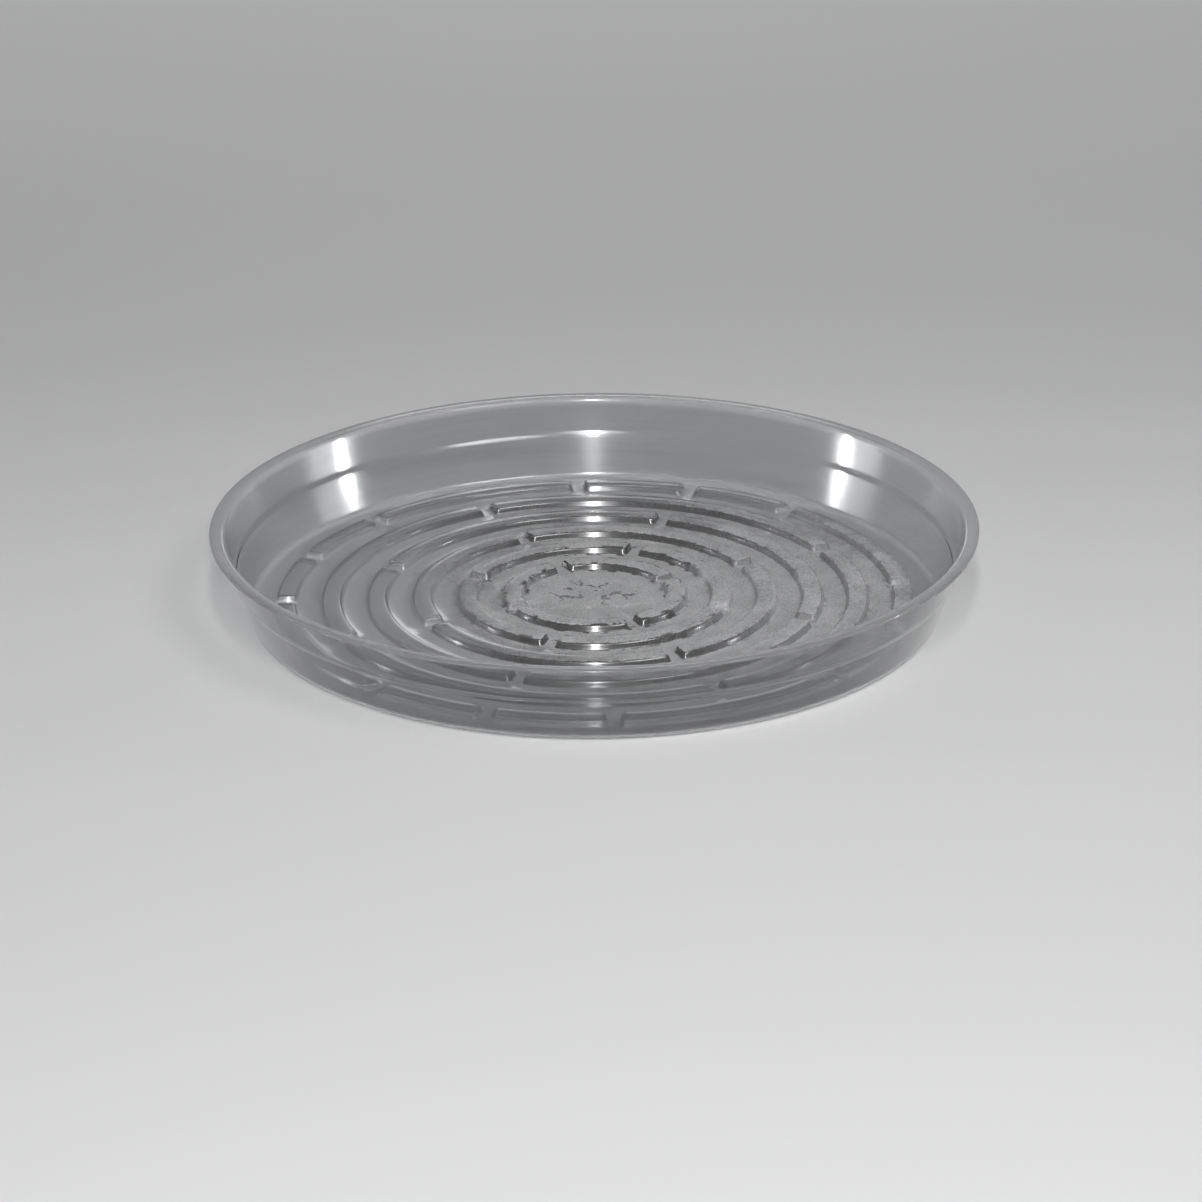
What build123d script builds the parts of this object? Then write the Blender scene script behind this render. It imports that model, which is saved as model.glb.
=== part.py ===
from build123d import *
from math import cos, radians, sin, tan
import os

# A round plant saucer, formed in one go from one clear plastic sheet.
# Lengths are in millimetres and angles in degrees. The saucer's axis is Z, it stands on the plane z = 0,
# and the origin is the centre of its underside.

# Outline of the sheet, measured on its outside and underside
sheet = 0.7  # thickness
rim_diameter = 254.0  # across the lip
height = 28.3  # from the underside to the top of the lip
lip_width = 4.4  # flat lip, out from the upper wall
lip_flat = 0.8  # flat that eases the bend under the lip, along the wall and along the lip
upper_lean = 10.5  # upper wall, from upright
step_drop = 13.0  # from the top of the lip down to the top of the step
step_run = 1.1  # step in the wall, across
step_rise = 1.0  # step in the wall, up
lower_lean = 17.5  # lower wall, from upright
corner_flat = 1.8  # flat that eases the bottom corner, along the floor and along the wall

# Ribs pressed up from the floor in rings, each ring broken by gaps
rib_pitch = 15.1  # from ring to ring
rib_width = 7.5  # at the floor
rib_height = 2.3  # above the floor
rib_draft = 14.0  # sides and ends of a rib, from upright
rib_margin = 6.4  # flat floor between the corner and the outermost ring
gap_width = 4.0  # at the floor
ring_gaps = 4  # evenly spaced gaps in each ring, turned by half a space from one ring to the next
outer_extra_gaps = 8  # further gaps in the outermost ring, turned by half a space from the X axis

# Places that follow from these sizes
rim_radius = rim_diameter / 2
lip_underside = height - sheet
wall_top_radius = rim_radius - lip_width
step_top = height - step_drop
step_top_radius = wall_top_radius - (lip_underside - step_top) * tan(radians(upper_lean))
step_foot = step_top - step_rise
step_foot_radius = step_top_radius - step_run
base_radius = step_foot_radius - step_foot * tan(radians(lower_lean))
flat_floor_radius = base_radius - corner_flat
outer_ring_radius = flat_floor_radius - rib_margin - rib_width / 2
ring_count = int(outer_ring_radius // rib_pitch)


def up_wall(radius, z, lean, distance):
    """The point that far up a leaning wall, in the plane of the section."""
    return radius + distance * sin(radians(lean)), z + distance * cos(radians(lean))


def dish():
    """The sheet without its ribs: floor, corner, lower wall, step, upper wall and lip."""
    outside = Polyline(
        (0, 0),
        (flat_floor_radius, 0),
        up_wall(base_radius, 0, lower_lean, corner_flat),
        (step_foot_radius, step_foot),
        (step_top_radius, step_top),
        up_wall(wall_top_radius, lip_underside, upper_lean, -lip_flat),
        (wall_top_radius + lip_flat, lip_underside),
        (rim_radius, lip_underside),
    )
    section = make_face(offset(outside, amount=sheet, side=Side.LEFT, kind=Kind.INTERSECTION))
    return revolve(Plane.XZ * section, Axis.Z)


def gap_angles(ring):
    """Where a ring is broken, counting rings inwards from the outermost."""
    space = 360 / ring_gaps
    turn = space / 2 if ring % 2 == 0 else 0
    angles = [turn + space * i for i in range(ring_gaps)]
    if ring == 0:
        extra_space = 360 / outer_extra_gaps
        angles += [extra_space * (i + 0.5) for i in range(outer_extra_gaps)]
    return angles


def rib_ring(ring, inset):
    """The segments of one ring with their faces set in, by 0 for their skin or the sheet for their hollow."""
    radius = outer_ring_radius - ring * rib_pitch
    slope = tan(radians(rib_draft))
    side_inset = inset / cos(radians(rib_draft))
    crest = sheet + rib_height - inset
    # The skin starts inside the floor and the hollow below it.
    foot = sheet / 2 - 2 * inset

    def half_rib(z):
        return rib_width / 2 - side_inset - (z - sheet) * slope

    def half_gap(z):
        return gap_width / 2 + side_inset + (z - sheet) * slope

    rib = Polyline(
        (radius - half_rib(foot), foot),
        (radius + half_rib(foot), foot),
        (radius + half_rib(crest), crest),
        (radius - half_rib(crest), crest),
        close=True,
    )
    gap = Polyline(
        (-half_gap(foot), foot),
        (half_gap(foot), foot),
        (half_gap(crest), crest),
        (-half_gap(crest), crest),
        close=True,
    )
    cutter = extrude(Plane.YZ.offset(radius - rib_width) * make_face(gap), amount=2 * rib_width)
    whole_ring = revolve(Plane.XZ * make_face(rib), Axis.Z)
    return whole_ring - [Rot(0, 0, angle) * cutter for angle in gap_angles(ring)]


def saucer():
    """The dish with every rib raised from its floor and hollow below."""
    skins = [rib_ring(ring, 0) for ring in range(ring_count)]
    hollows = [rib_ring(ring, sheet) for ring in range(ring_count)]
    return dish() + skins - hollows


os.makedirs("parts", exist_ok=True)
export_step(saucer(), "parts/saucer.step")
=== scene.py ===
from math import asin, atan2, cos, degrees, hypot, pi, radians, sin, tan

import bmesh
import bpy
import numpy as np
from mathutils import Matrix, Vector


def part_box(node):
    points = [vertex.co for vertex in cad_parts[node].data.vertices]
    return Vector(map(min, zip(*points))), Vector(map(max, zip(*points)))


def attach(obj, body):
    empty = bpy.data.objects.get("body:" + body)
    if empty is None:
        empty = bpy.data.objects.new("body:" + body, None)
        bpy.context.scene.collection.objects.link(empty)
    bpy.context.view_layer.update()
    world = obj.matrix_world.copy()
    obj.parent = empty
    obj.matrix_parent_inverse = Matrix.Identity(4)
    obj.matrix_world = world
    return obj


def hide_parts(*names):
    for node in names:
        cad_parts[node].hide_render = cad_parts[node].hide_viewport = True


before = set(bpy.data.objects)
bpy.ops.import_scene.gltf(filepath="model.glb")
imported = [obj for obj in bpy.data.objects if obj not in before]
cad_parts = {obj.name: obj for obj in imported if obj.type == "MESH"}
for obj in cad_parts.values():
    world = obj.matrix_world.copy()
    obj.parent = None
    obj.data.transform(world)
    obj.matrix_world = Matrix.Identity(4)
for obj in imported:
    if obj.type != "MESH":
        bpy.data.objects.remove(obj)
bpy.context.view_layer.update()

# The plant saucer's sheet, in millimetres and degrees, with the sizes of its solid
mm = 0.001
sheet = 0.7
rim_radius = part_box("saucer")[1].x / mm
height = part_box("saucer")[1].z / mm
lip_width = 4.4
upper_lean = 10.5
step_drop = 13.0
step_run = 1.1
step_rise = 1.0
lower_lean = 17.5

# Its ribs, in rings that are counted inwards, each ring broken by gaps
ring_count = 6
outer_ring_radius = 102.76
rib_pitch = 15.1
rib_width = 7.5
rib_height = 2.3
rib_draft = 14.0
rib_rings = [outer_ring_radius - rib_pitch * ring for ring in range(ring_count)]
ring_gaps = 4
outer_extra_gaps = 8
gap_width = 4.0

# Its bends, as radii on its upper side, and the bevel of the lip's cut edge
corner_bend = 2.3
step_foot_bend = 0.9
step_top_bend = 3.2
lip_bend = 1.6
rib_crest_bend = 1.2
rib_foot_bend = 0.7
rib_end_bend = 1.4
lip_edge_bevel = 0.12

# Facets round the saucer, the length of a rib's first facet at each end, and how near counts as the same place
around = 240
rib_first_facet = 2.6
near = 0.01

# Folds sharper than these are the creases of a rib, and the corners between its sides and its ends
rib_crease = radians(30)
rib_corner = radians(45)

# Colours of the finishes
smoke = (0.58, 0.584, 0.591, 1)
smoke_for_lamps = (0.61, 0.613, 0.618, 1)
# Pale hazes that paint a sheen on the lip, and on the outside a highlight along the foot
lip_sheen_inside = (0.66, 0.662, 0.668, 1)
haze_and_sheen_outside = (0.74, 0.742, 0.748, 1)
# Dust, whose finish also paints sheen on the rib tops and light on some rib sides
dark_dust_and_sheen, pale_dust_and_sheen = (0.22, 0.22, 0.222), (0.64, 0.642, 0.65)
# Soil, also used as painted shade on the ribs' sides towards the front and the back
dark_soil_and_shade, pale_soil_and_shade = (0.01, 0.01, 0.01), (0.10, 0.10, 0.101)
floor_grey = (0.72, 0.72, 0.72, 1)
air_grey = (0.55, 0.56, 0.58, 1)

# The direction across the saucer in which its dust lies and towards which the ribs' sides take painted shade, then
# the middle and the reach of the dust's patch and of its heap, to the right and away in that direction, in metres
dust_and_shade_turn = radians(-25.7)
patch_middle, patch_reach = (0.035, 0.0), (0.085, 0.075)
heap_middle, heap_reach = (0.048, 0.002), (0.030, 0.024)

# The floor of the studio and the camera, in metres and radians
studio_floor_half = 4.0
studio_floor_drop = 0.0003
camera_turn = radians(-25.7)
camera_rise = radians(21.07)
camera_distance = 1.25
camera_lens = 113.03
camera_sensor = 36
aim_aside = radians(-0.0937)
aim_down = radians(-1.2443)
camera_roll = radians(-0.44)


class Wire:
    """One socket of a finish. Sums on wires add Math nodes, and node() adds any other node."""

    def __init__(self, tree, socket=None):
        self.tree = tree
        self.socket = socket

    def node(self, kind, settings={}, output=0, **sockets):
        """Adds a node: its settings first, then its sockets, by name or as _0, _1 and _2 by place."""
        made = self.tree.nodes.new(kind)
        for name, value in settings.items():
            if name == "stops":
                for stop, (place, colour) in zip(made.color_ramp.elements, value):
                    stop.position = place
                    stop.color = (*colour, 1)
            else:
                setattr(made, name, value)
        for name, value in sockets.items():
            place = int(name[1:]) if name[1:].isdigit() else name.replace("_", " ")
            if isinstance(value, Wire):
                self.tree.links.new(value.socket, made.inputs[place])
            else:
                made.inputs[place].default_value = value
        return Wire(self.tree, made.outputs[output]) if made.outputs else None

    def math(self, operation, first, second=0.0):
        return self.node("ShaderNodeMath", {"operation": operation}, _0=first, _1=second)

    def __add__(self, other):
        return self.math("ADD", self, other)

    def __radd__(self, other):
        return self.math("ADD", other, self)

    def __sub__(self, other):
        return self.math("SUBTRACT", self, other)

    def __rsub__(self, other):
        return self.math("SUBTRACT", other, self)

    def __mul__(self, other):
        return self.math("MULTIPLY", self, other)

    def __rmul__(self, other):
        return self.math("MULTIPLY", other, self)

    def __truediv__(self, other):
        return self.math("DIVIDE", self, other)

    def __rtruediv__(self, other):
        return self.math("DIVIDE", other, self)

    def __abs__(self):
        return self.math("ABSOLUTE", self)

    def ramp(self, low, high):
        """A smooth rise from 0 at low to 1 at high."""
        settings = {"interpolation_type": "SMOOTHSTEP"}
        return self.node("ShaderNodeMapRange", settings, Value=self, From_Min=low, From_Max=high)


def inside_corner(before, corner, after):
    """The corner of the sheet's upper side across from a corner of its outside, in the section."""
    first = (corner - before).normalized().orthogonal()
    second = (after - corner).normalized().orthogonal()
    return corner + sheet * (first + second) / (1 + first.dot(second))


def section():
    """The upper side of the sheet with sharp bends, from the axis to the rim, and the bends of the wall alone.

    The floor has a point at each foot of its ribs.
    """
    wall_top = Vector((rim_radius - lip_width, height - sheet))
    upper_wall = wall_top.y - (height - step_drop)
    step_top = Vector((wall_top.x - upper_wall * tan(radians(upper_lean)), height - step_drop))
    step_foot = step_top - Vector((step_run, step_rise))
    base = Vector((step_foot.x - step_foot.y * tan(radians(lower_lean)), 0))
    rim = Vector((rim_radius, height - sheet))
    outside = [Vector((0, 0)), base, step_foot, step_top, wall_top, rim]
    bends = [inside_corner(*outside[i:i + 3]) for i in range(len(outside) - 2)]
    feet = [Vector((r + side * rib_width / 2, sheet)) for r in reversed(rib_rings) for side in (-1, 1)]
    return [Vector((0, sheet)), *feet, *bends, Vector((rim_radius, height))], bends


def gap_angles(ring):
    """Where a ring of ribs is broken, counting rings inwards from the outermost."""
    space = 360 / ring_gaps
    turn = space / 2 if ring % 2 == 0 else 0
    angles = [turn + space * i for i in range(ring_gaps)]
    if ring == 0:
        extra_space = 360 / outer_extra_gaps
        angles += [extra_space * (i + 0.5) for i in range(outer_extra_gaps)]
    return angles


def radius_of(vertex):
    return hypot(vertex.co.x, vertex.co.y) / mm


def round_edges(bm, edges, offset, segments):
    bmesh.ops.bevel(
        bm, geom=edges, offset=offset * mm, offset_type="OFFSET", segments=segments, profile=0.5,
        affect="EDGES", material=-1, clamp_overlap=True,
    )


def rib_creases(bm, z):
    """The creases that lie at one height, that of the floor or of the ribs' tops."""
    return [
        e for e in bm.edges
        if all(abs(v.co.z / mm - z) < near and radius_of(v) < rib_rings[0] + rib_width for v in e.verts)
        and len(e.link_faces) == 2 and e.calc_face_angle() > rib_crease
    ]


def slide_to_gaps(bm, ring, radius):
    """Moves the points on one circle along it, so that the ends of its ribs have points of their own."""
    facet = 360 / around
    columns = max(1, round(degrees(asin(gap_width / 2 / rib_rings[ring])) / facet))
    half_gap = degrees(asin(gap_width / 2 / radius))
    first = degrees(rib_first_facet / radius)
    knots, shifts = [], []
    for gap in gap_angles(ring):
        for side in (-1, 1):
            for even, true in ((columns, half_gap), (columns + 1, half_gap + first)):
                knots.append((gap + side * even * facet) % 360)
                shifts.append(side * (true - even * facet))
    for v in bm.verts:
        if abs(radius_of(v) - radius) < near:
            angle = degrees(atan2(v.co.y, v.co.x)) % 360
            shift = np.interp(angle, knots, shifts, period=360)
            v.co.rotate(Matrix.Rotation(radians(shift), 3, "Z"))


def rib_faces(bm):
    """The faces of the floor that the ribs are raised from."""
    picked = []
    for face in bm.faces:
        middle = face.calc_center_median() / mm
        radius = hypot(middle.x, middle.y)
        for ring, ring_radius in enumerate(rib_rings):
            if abs(radius - ring_radius) < rib_width / 2:
                turns = [Matrix.Rotation(radians(-gap), 3, "Z") @ middle for gap in gap_angles(ring)]
                if not any(t.x > 0 and abs(t.y) < gap_width / 2 for t in turns):
                    picked.append(face)
    return picked


def spun(points):
    """The points of the section spun round the saucer's axis, with the faces turned up."""
    bm = bmesh.new()
    line = [bm.verts.new((point.x * mm, 0, point.y * mm)) for point in points]
    for pair in zip(line, line[1:]):
        bm.edges.new(pair)
    bmesh.ops.spin(
        bm, geom=bm.verts[:] + bm.edges[:], cent=(0, 0, 0), axis=(0, 0, 1), angle=2 * pi, steps=around,
        use_merge=True,
    )
    bmesh.ops.remove_doubles(bm, verts=bm.verts, dist=1e-6)
    bmesh.ops.recalc_face_normals(bm, faces=bm.faces)
    bm.normal_update()
    if min(bm.faces, key=lambda face: face.calc_center_median().length).normal.z < 0:
        bmesh.ops.reverse_faces(bm, faces=bm.faces)
    return bm


def press_ribs(bm):
    """Raises the ribs from the floor, drafted on all sides, and rounds their ends, crests and feet."""
    for ring, radius in enumerate(rib_rings):
        slide_to_gaps(bm, ring, radius - rib_width / 2)
        slide_to_gaps(bm, ring, radius + rib_width / 2)
    run = rib_height * tan(radians(rib_draft))
    sides = set(bmesh.ops.inset_region(
        bm, faces=rib_faces(bm), thickness=run * mm, depth=rib_height * mm, use_boundary=True,
        use_even_offset=True,
    )["faces"])
    bm.normal_update()
    between_sides = [e for e in bm.edges if len(e.link_faces) == 2 and sides.issuperset(e.link_faces)]
    corners = [e for e in between_sides if e.calc_face_angle() > rib_corner]
    round_edges(bm, corners, rib_end_bend, segments=4)
    half_turn = tan(radians(90 - rib_draft) / 2)
    bm.normal_update()
    round_edges(bm, rib_creases(bm, sheet + rib_height), rib_crest_bend * half_turn, segments=3)
    bm.normal_update()
    round_edges(bm, rib_creases(bm, sheet), rib_foot_bend * half_turn, segments=2)


def round_bends(bm, bends):
    """Rounds the bottom corner, the foot and the top of the step, and the bend to the lip."""
    radii = (corner_bend, step_foot_bend, step_top_bend, lip_bend)
    segments = (7, 3, 2, 6)
    for bend, radius, count in zip(bends, radii, segments):
        bm.normal_update()
        loop = [
            e for e in bm.edges
            if all(abs(radius_of(v) - bend.x) < near and abs(v.co.z / mm - bend.y) < near for v in e.verts)
        ]
        round_edges(bm, loop, radius * tan(loop[0].calc_face_angle() / 2), count)


def new_object(name, bm):
    mesh = bpy.data.meshes.new(name)
    bm.to_mesh(mesh)
    bm.free()
    made = bpy.data.objects.new(name, mesh)
    bpy.context.scene.collection.objects.link(made)
    return made


def formed_sheet():
    """The saucer's sheet: its upper side, the thickness below that, and the bevel of the lip's cut edge."""
    points, bends = section()
    bm = spun(points)
    press_ribs(bm)
    round_bends(bm, bends)
    for face in bm.faces:
        face.smooth = True
    piece = new_object("saucer_sheet", bm)

    # The underside and the cut edge take the second finish.
    wall = piece.modifiers.new("thickness", "SOLIDIFY")
    wall.thickness = sheet * mm
    wall.offset = -1
    wall.use_even_offset = True
    wall.use_quality_normals = True
    wall.material_offset = 1
    wall.material_offset_rim = 1
    lip_edge = piece.modifiers.new("lip_edge", "BEVEL")
    lip_edge.width = lip_edge_bevel * mm
    lip_edge.segments = 2
    lip_edge.limit_method = "ANGLE"
    lip_edge.angle_limit = radians(60)

    # Shading that stays flat up the lower wall, between its rounded bends
    below_step = height - step_drop - 0.2
    past_ribs = rib_rings[0] + rib_width
    group = piece.vertex_groups.new(name="lower_wall")
    group.add(
        [v.index for v in piece.data.vertices if radius_of(v) > past_ribs and v.co.z / mm < below_step],
        1, "REPLACE",
    )
    flat_wall = piece.modifiers.new("flat_lower_wall", "WEIGHTED_NORMAL")
    flat_wall.weight = 90
    flat_wall.vertex_group = group.name
    return piece


def new_finish(name):
    """An empty finish, with a wire to start its nodes from."""
    material = bpy.data.materials.new(name)
    material.use_nodes = True
    material.node_tree.nodes.clear()
    return material, Wire(material.node_tree)


def show(surface):
    surface.node("ShaderNodeOutputMaterial", Surface=surface)


def cover(share, below, above):
    """One finish laid over another, by a share from 0 to 1."""
    return below.node("ShaderNodeMixShader", _0=share, _1=below, _2=above)


def noise(place, scale, detail):
    return place.node("ShaderNodeTexNoise", Vector=place, Scale=scale, Detail=detail, Roughness=0.6)


def distance(across, along):
    """How far off a place is, from how far it is along two directions at right angles."""
    return across.math("SQRT", across * across + along * along)


def spot(right, away, middle, reach):
    """How far a place is from the middle of a spot of dust, as a share of the spot's reach."""
    return distance((right - middle[0]) / reach[0], (away - middle[1]) / reach[1])


def faint_ripple(place, invert):
    """The sheet's faint ripple, inverted on its outside because it is one ripple of the whole sheet."""
    swell = noise(place, 45, 1.0)
    return place.node("ShaderNodeBump", {"invert": invert}, Strength=0.12, Distance=0.001, Height=swell)


def clear_plastic(scuffs, ripple):
    """Clear, faintly smoky plastic that lets the lamps' light through to what lies below it."""
    plastic = scuffs.node(
        "ShaderNodeBsdfPrincipled", Base_Color=smoke, Roughness=0.03 * scuffs, IOR=1.2,
        Transmission_Weight=1.0, Coat_Weight=1 - 0.25 * scuffs, Coat_Roughness=0.15, Coat_IOR=1.54,
        Normal=ripple,
    )
    lamp_light = scuffs.node("ShaderNodeBsdfTransparent", Color=smoke_for_lamps)
    from_lamp = scuffs.node("ShaderNodeLightPath", output="Is Shadow Ray")
    return cover(from_lamp, plastic, lamp_light)


def inside_finish():
    """The upper side: clear plastic under dried dust, with painted shade, sheen and light on the ribs, and dark
    residue.
    """
    material, start = new_finish("clear_sheet_inside")
    place = start.node("ShaderNodeTexCoord", output="Object")
    x, y, z = [start.node("ShaderNodeSeparateXYZ", output=axis, Vector=place) for axis in "XYZ"]
    normal = start.node("ShaderNodeNewGeometry", output="Normal")
    flatness = abs(start.node("ShaderNodeSeparateXYZ", output="Z", Vector=normal))
    right = x * cos(dust_and_shade_turn) + y * sin(dust_and_shade_turn)
    away = y * cos(dust_and_shade_turn) - x * sin(dust_and_shade_turn)

    # Parts of the sheet, by their distance from the axis and by their height
    radius = distance(x, y)
    flat_floor = 1 - radius.ramp(0.102, 0.1125)
    floor_and_corner = 1 - radius.ramp(0.107, 0.1125)
    outer_ring = radius.ramp(0.098, 0.104)
    within_outer_ring = 1 - radius.ramp(0.092, 0.106)
    inner_rings = 1 - radius.ramp(0.035, 0.085)
    innermost_rings = 1 - radius.ramp(0.030, 0.060)
    past_middle = radius.ramp(0.018, 0.021)
    very_middle = 1 - radius.ramp(0.011, 0.019)
    rib_tops = z.ramp(0.0022, 0.0028)
    lip = z.ramp(0.0250, 0.0272)

    # Flat and steep places with ragged limits, and how squarely a rib's side faces front or back, for its painted
    # shade
    level = flatness + 0.5 * (noise(place, 420, 3.0) - 0.5)
    flats = level.ramp(0.74, 0.92)
    steep = 1 - level.ramp(0.68, 0.92)
    facing = away * away / (radius * radius + 1e-6)

    # The plastic, scuffed and drawn into fine lines round the wall, with a pale haze at the lip that is a painted
    # sheen
    scuffs = noise(place, 60, 4.0).ramp(0.45, 0.75)
    stretched = start.node("ShaderNodeMapping", Vector=place, Scale=(14, 14, 800))
    drawn_lines = noise(stretched, 1, 3.0).ramp(0.40, 0.75)
    pale_haze_and_sheen = start.node("ShaderNodeBsdfPrincipled", Base_Color=lip_sheen_inside, Roughness=0.35)
    clear = cover(0.24 * lip, clear_plastic(scuffs, faint_ripple(place, False)), pale_haze_and_sheen)

    # Dust that dried on the floor in one patch, over the middle and the right, with a heap in it
    patch = spot(right, away, patch_middle, patch_reach) + 0.9 * (noise(place, 38, 5.0) - 0.5)
    patch = 1 - patch.ramp(0.72, 1.12)
    heap = spot(right, away, heap_middle, heap_reach) + 1.2 * (noise(place, 50, 5.0) - 0.5)
    heap = 1 - heap.ramp(0.65, 1.05)
    from_ring = start.math("PINGPONG", radius - mm * rib_rings[-1], mm * rib_pitch / 2)
    rib_foot = 1 - abs(from_ring - 0.0034).ramp(0.0006, 0.0022)
    crumbled = patch * (1 - heap) * past_middle * rib_foot * noise(place, 230, 4.0).ramp(0.52, 0.60)
    crumbled = crumbled * (0.25 + 0.75 * innermost_rings)
    # Dust in the patch, and outside it a pale film on the rib tops that is a painted sheen
    dust_and_top_sheen = flat_floor * flats * (0.03 + 0.16 * rib_tops * (1 - patch) + 0.88 * patch) * (1 - crumbled)
    # Painted light: a pale film on the ribs' sides that face sideways and on the outer ring's sides, partly dust
    # in the patch
    sideways = start.math("MAXIMUM", 1 - facing, outer_ring)
    dust_and_sheen_on_sides = floor_and_corner * steep * sideways * (0.18 + 0.35 * patch)
    dust_and_sheen_share = start.math("MAXIMUM", 0.005 + 0.04 * drawn_lines + dust_and_top_sheen + dust_and_sheen_on_sides, 0.92 * heap)
    crumbs = noise(place, 1500, 4.0)
    dust_and_sheen_colour = start.node(
        "ShaderNodeValToRGB", {"stops": [(0.32, dark_dust_and_sheen), (0.68, pale_dust_and_sheen)]},
        Fac=0.7 * crumbs + 0.3 * noise(place, 90, 4.0),
    )
    lumps = start.node("ShaderNodeBump", Strength=0.6, Distance=0.0006, Height=noise(place, 520, 4.0))
    dust_and_sheen_finish = start.node("ShaderNodeBsdfPrincipled", Base_Color=dust_and_sheen_colour, Roughness=0.6, Normal=lumps)
    dusted_and_sheened = cover(dust_and_sheen_share, clear, dust_and_sheen_finish)

    # Painted shade on the ribs' sides towards the front and the back, and dark residue where dust crumbled off, in
    # specks all over the patch, and in cracks at the very middle
    crust = noise(place, 170, 5.0).ramp(0.42, 0.60)
    painted_shade_on_ribs = within_outer_ring * steep * facing * (1 - heap) * (0.90 + 0.08 * inner_rings * crust)
    swirl = start.node("ShaderNodeTexNoise", output="Color", Vector=place, Scale=260, Detail=3.0)
    wobbly = start.node(
        "ShaderNodeVectorMath", {"operation": "MULTIPLY_ADD"}, _0=swirl, _1=(0.008, 0.008, 0.008), _2=place,
    )
    cells = start.node("ShaderNodeTexVoronoi", {"feature": "DISTANCE_TO_EDGE"}, Vector=wobbly, Scale=130)
    cracks = very_middle * (1 - cells.ramp(0.03, 0.09)) * noise(place, 110, 2.0).ramp(0.48, 0.53)
    specks = patch * flats * (1 - noise(place, 1300, 2.0).ramp(0.33, 0.40))
    residue_and_shade = painted_shade_on_ribs + 0.9 * cracks + 0.30 * specks + 0.75 * crumbled
    soil_and_shade_colour = start.node("ShaderNodeValToRGB", {"stops": [(0.2, dark_soil_and_shade), (0.8, pale_soil_and_shade)]}, Fac=crumbs)
    soil_and_shade_finish = start.node(
        "ShaderNodeBsdfPrincipled", Base_Color=soil_and_shade_colour, Roughness=0.5, Coat_Weight=1.0, Coat_Roughness=0.15,
        Coat_IOR=1.85,
    )
    show(cover(residue_and_shade, dusted_and_sheened, soil_and_shade_finish))
    return material


def outside_finish():
    """The underside and the cut edge: clear plastic, with a pale haze at the foot and the lip painting a highlight
    and sheen.
    """
    material, start = new_finish("clear_sheet_outside")
    place = start.node("ShaderNodeTexCoord", output="Object")
    z = start.node("ShaderNodeSeparateXYZ", output="Z", Vector=place)
    foot, lip = 1 - z.ramp(0.0002, 0.0030), z.ramp(0.0250, 0.0272)
    ripple = faint_ripple(place, True)
    scuffs = noise(place, 70, 4.0).ramp(0.45, 0.75)
    pale_haze_and_sheen = start.node("ShaderNodeBsdfPrincipled", Base_Color=haze_and_sheen_outside, Roughness=0.4, Normal=ripple)
    # Faint haze where scuffed, and a pale haze that paints a highlight along the foot and a sheen on the lip
    haze_and_sheen = 0.005 + 0.02 * scuffs + 0.42 * foot + 0.12 * lip
    show(cover(haze_and_sheen, clear_plastic(scuffs, ripple), pale_haze_and_sheen))
    return material


def pale_finish():
    material, start = new_finish("pale_floor")
    show(start.node("ShaderNodeBsdfPrincipled", Base_Color=floor_grey, Roughness=0.9))
    return material


def studio_point(right, away, up):
    """A point given as seen from the camera: to its right, away from it past the saucer, and up."""
    return Vector((
        right * cos(camera_turn) - away * sin(camera_turn),
        right * sin(camera_turn) + away * cos(camera_turn),
        up,
    ))


def lamp(name, place, target, width, length, watts, shape="RECTANGLE", spread=180):
    light = bpy.data.lights.new(name, "AREA")
    light.shape = shape
    light.size = width
    light.size_y = length
    light.energy = watts
    light.spread = radians(spread)
    holder = bpy.data.objects.new(name, light)
    bpy.context.scene.collection.objects.link(holder)
    holder.location = place
    holder.rotation_euler = (target - place).to_track_quat("-Z", "Y").to_euler()
    holder.visible_camera = False


saucer = formed_sheet()
saucer.data.materials.append(inside_finish())
saucer.data.materials.append(outside_finish())
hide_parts("saucer")
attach(saucer, "root")

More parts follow.
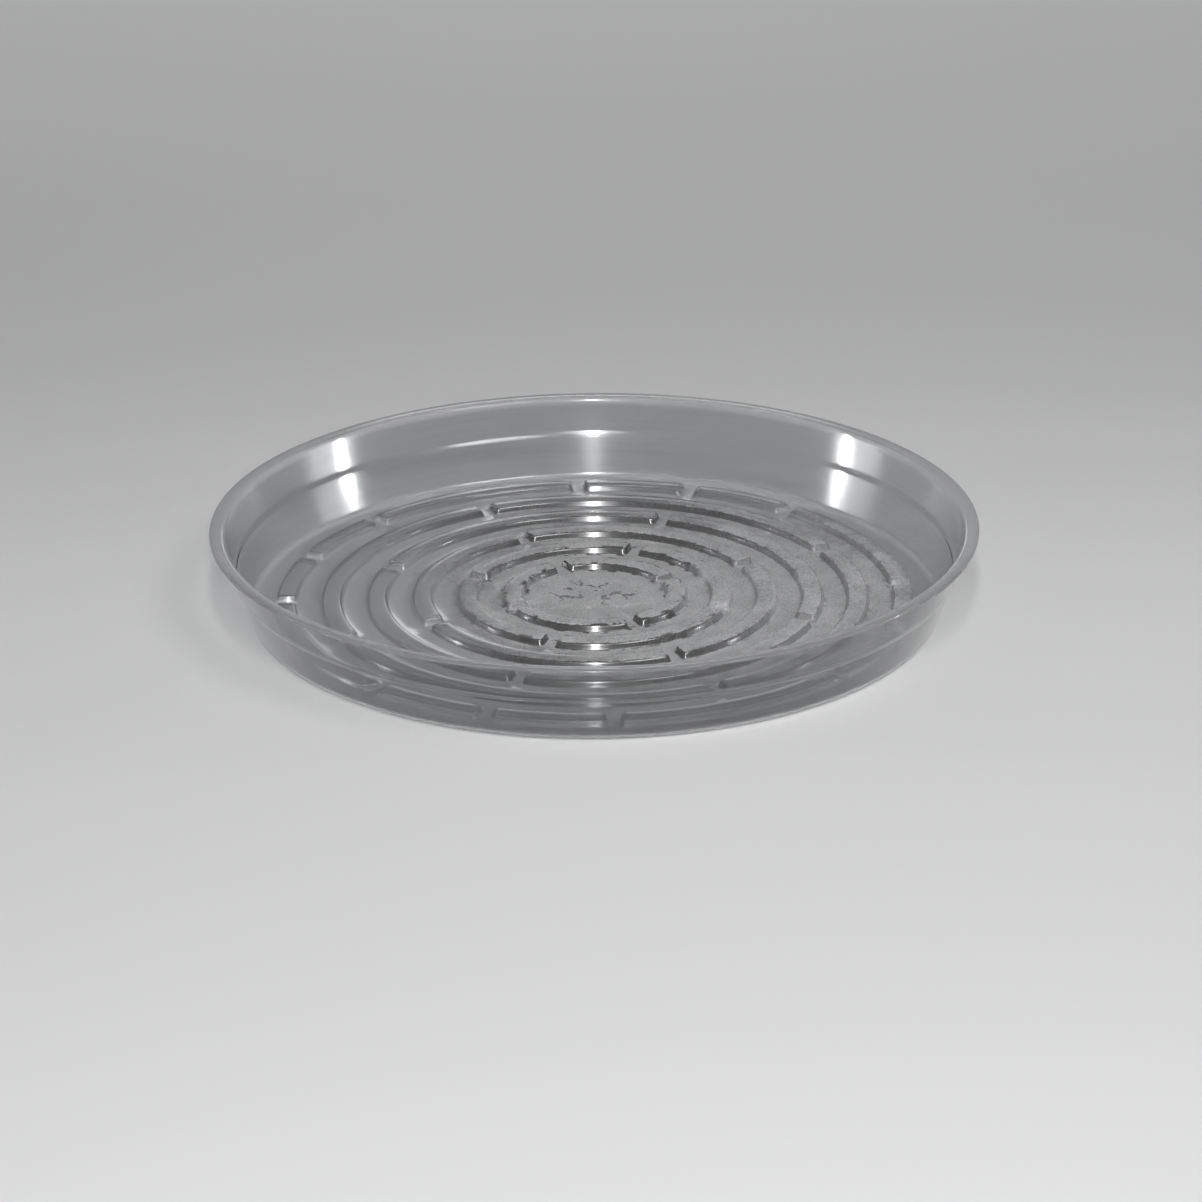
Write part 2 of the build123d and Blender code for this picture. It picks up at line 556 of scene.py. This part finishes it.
# A plain pale floor just below the saucer
bm = bmesh.new()
bmesh.ops.create_grid(bm, x_segments=1, y_segments=1, size=studio_floor_half)
bmesh.ops.translate(bm, verts=bm.verts, vec=(0, 0, -studio_floor_drop))
floor = new_object("floor", bm)
floor.data.materials.append(pale_finish())

world = bpy.data.worlds.new("studio")
bpy.context.scene.world = world
world.use_nodes = True
background = world.node_tree.nodes["Background"]
background.inputs["Color"].default_value = air_grey
background.inputs["Strength"].default_value = 0.24

# Lamps in front for the ribs and the step, one to each side for the wall, and one low behind for the far lip
middle = studio_point(0, 0, 0)
lamp("strip_front", studio_point(0.005, -1.028, 0.796), middle, width=0.08, length=0.90, watts=9)
lamp("glow_front", studio_point(0.005, -1.10, 0.714), middle, width=0.42, length=0.48, watts=1.5)
for name, right in (("box_left", -1.3), ("box_right", 1.3)):
    lamp(
        name, studio_point(right, 0.02, 0.13), middle, width=0.07, length=0.22, watts=0.10, shape="ELLIPSE",
        spread=24,
    )
lamp(
    "window", studio_point(0.7, -0.8, 1.2), studio_point(0, -0.15, 0), width=0.7, length=0.5, watts=1.7, spread=85,
)
lamp("box_behind", studio_point(0, 1.6, 0.46), middle, width=0.40, length=0.18, watts=0.40)

# Light on the floor round the saucer that hardly reaches the saucer itself
for name, right, away in (
    ("wash_behind", 0, 1.10), ("wash_front", 0, -1.70), ("wash_left", -1.45, 0), ("wash_right", 1.45, 0),
):
    target = studio_point(0.94 * right, 0.94 * away, 0)
    lamp(name, studio_point(right, away, 1.2), target, width=2.4, length=1.0, watts=2.2, spread=60)

# Camera at the photograph's height and turn, aimed a little below the saucer and to its right
rim_centre = Vector((0, 0, height * mm))
sight = studio_point(0, -cos(camera_rise), sin(camera_rise))
camera_data = bpy.data.cameras.new("camera")
camera_data.sensor_width = camera_sensor
camera_data.lens = camera_lens
camera = bpy.data.objects.new("camera", camera_data)
bpy.context.scene.collection.objects.link(camera)
camera.location = rim_centre + camera_distance * sight
aim = sight.to_track_quat("Z", "Y").to_matrix()
for turn, axis in ((aim_aside, "Y"), (aim_down, "X"), (camera_roll, "Z")):
    aim = aim @ Matrix.Rotation(turn, 3, axis)
camera.rotation_euler = aim.to_euler()
bpy.context.scene.camera = camera
bpy.context.scene.view_settings.view_transform = "Standard"
